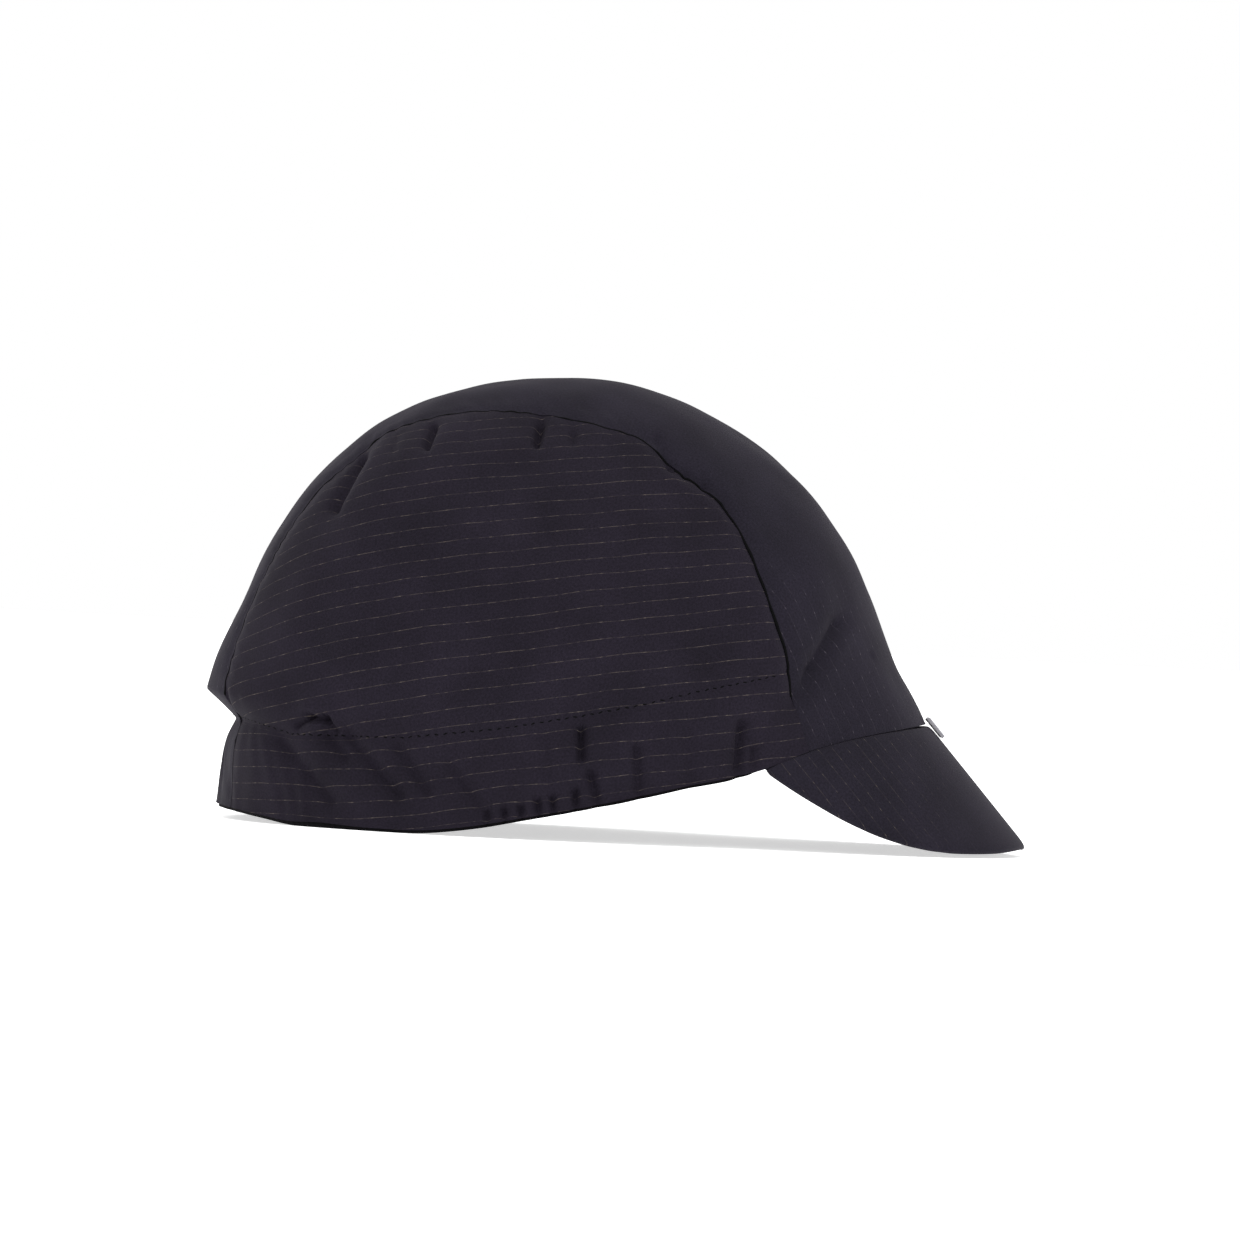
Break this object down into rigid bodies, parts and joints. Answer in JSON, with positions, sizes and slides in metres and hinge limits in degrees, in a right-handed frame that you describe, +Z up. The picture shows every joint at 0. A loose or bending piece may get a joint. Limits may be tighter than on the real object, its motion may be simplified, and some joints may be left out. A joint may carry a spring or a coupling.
{
  "type": "cycling cap",
  "caption": "Soft three-panel cycling cap of thin dark ripstop cloth, with a short stiff peak, a sweatband and a plain folded tab at the front.",
  "frame": {"origin": "on the surface that the cap lies on, under the middle of its box", "axes": "+X the way the wearer looks, from the nape to the peak; +Y the wearer's left; +Z up"},
  "size_m": [0.2402, 0.1578, 0.1317],
  "materials": {
    "crown_cloth": "thin dark navy-black ripstop, matt with fine lighter grid threads",
    "peak_cloth": "the same ripstop drawn tight over a stiff board",
    "band_cloth": "soft black knit sweatband",
    "tab_tape": "plain silver-grey woven tape"
  },
  "bodies": {
    "root": {"centre_panel": "crown_cloth", "side_panel_right": "crown_cloth", "side_panel_left": "crown_cloth", "sweatband": "band_cloth", "peak": "peak_cloth", "front_tab": "tab_tape"}
  },
  "joints": []
}
